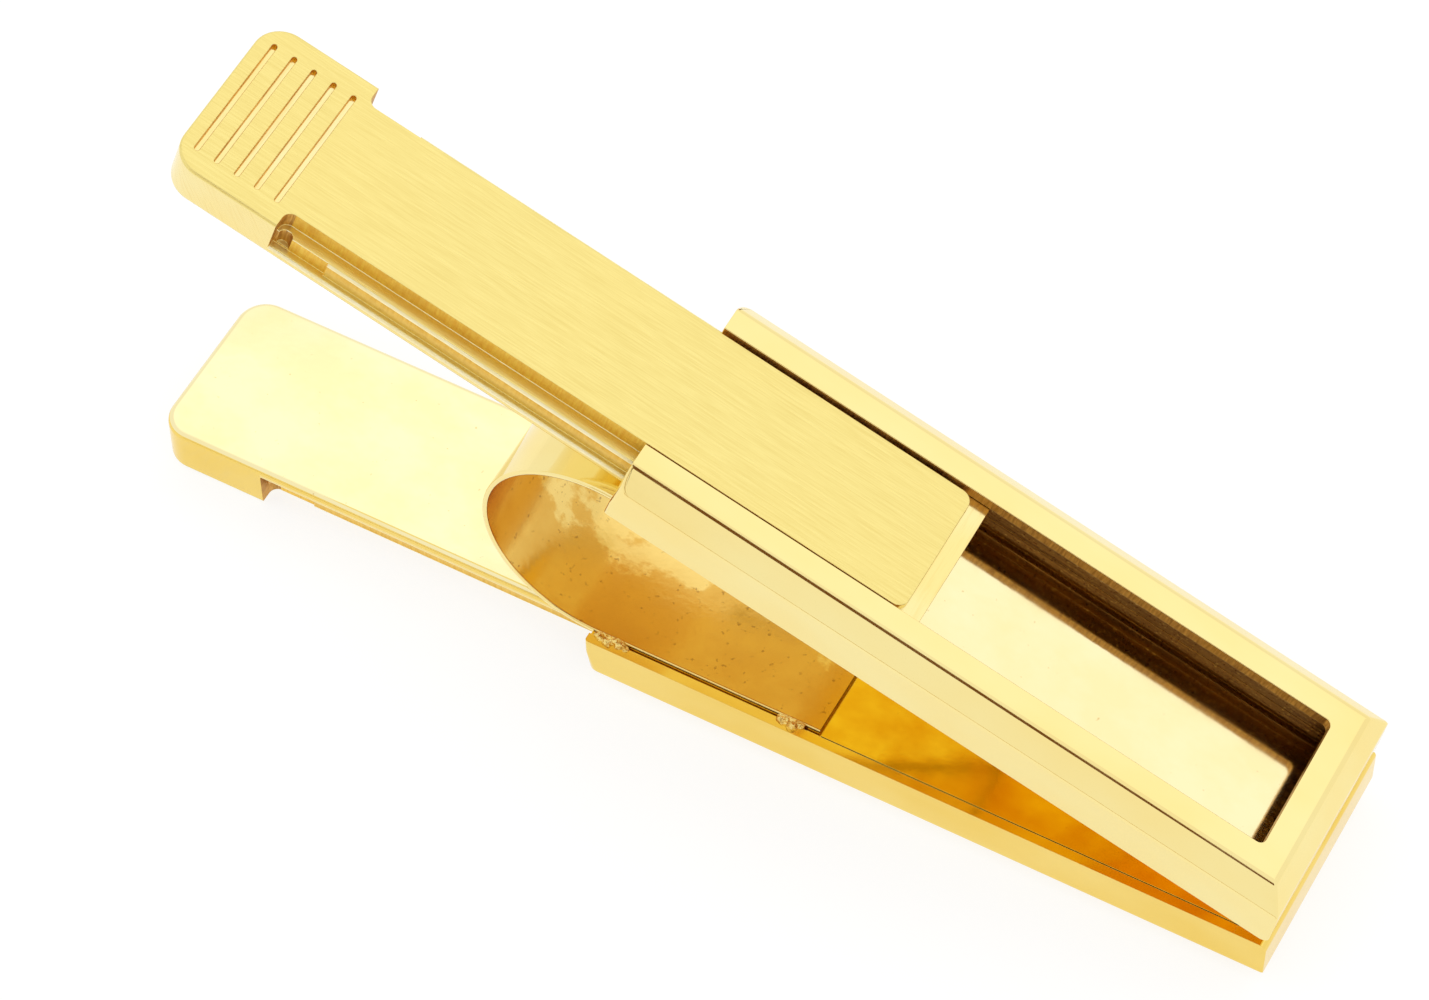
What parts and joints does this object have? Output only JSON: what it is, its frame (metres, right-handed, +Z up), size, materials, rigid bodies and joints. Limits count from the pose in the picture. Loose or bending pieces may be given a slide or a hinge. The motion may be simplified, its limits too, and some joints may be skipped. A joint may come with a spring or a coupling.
{
  "type": "money clip",
  "caption": "Money clip with two hinged housings held open by a bow spring, each with a slider that pulls out of its tip end.",
  "frame": {"origin": "middle of the bounding box's bottom, on the surface the lower arm lies on", "axes": "+Z up, +X along the clip from its tips to its hinge, +Y across its width"},
  "size_m": [0.0804, 0.016, 0.0336],
  "materials": {
    "polished_gold": "polished gold plate",
    "brushed_gold": "brushed gold plate",
    "spring_gold": "polished spring strip",
    "solder": "rough solder",
    "steel": "plain"
  },
  "bodies": {
    "lower_arm": {"lower_housing": "polished_gold", "lower_back_plate": "polished_gold", "hinge_lug_near": "polished_gold", "hinge_lug_far": "polished_gold", "bow_spring": "spring_gold", "solder_near_tip": "solder", "solder_near_hinge": "solder", "solder_far_tip": "solder", "solder_far_hinge": "solder"},
    "lower_slide_bar": {"lower_slider": "brushed_gold", "lower_drag_spring": "steel"},
    "upper_arm": {"upper_housing": "polished_gold", "upper_back_plate": "polished_gold", "hinge_pin": "steel"},
    "upper_slide_bar": {"upper_slider": "brushed_gold", "upper_drag_spring": "steel"}
  },
  "joints": [
    {"name": "arm_hinge", "type": "hinge", "parent": "lower_arm", "child": "upper_arm", "pos_m": [0.03861, 0, 0.0062], "axis": [0, 1, 0], "range_deg": [-17.8, 0], "stiffness_Nm_per_rad": 0.12, "springref_deg": 22.92, "deforming": ["bow_spring"]},
    {"name": "lower_slide", "type": "slide", "parent": "lower_arm", "child": "lower_slide_bar", "axis": [1, 0, 0], "range_m": [-0.00065, 0.02485]},
    {"name": "upper_slide", "type": "slide", "parent": "upper_arm", "child": "upper_slide_bar", "axis": [0.9521, 0, -0.3057], "range_m": [0, 0.0255]}
  ]
}
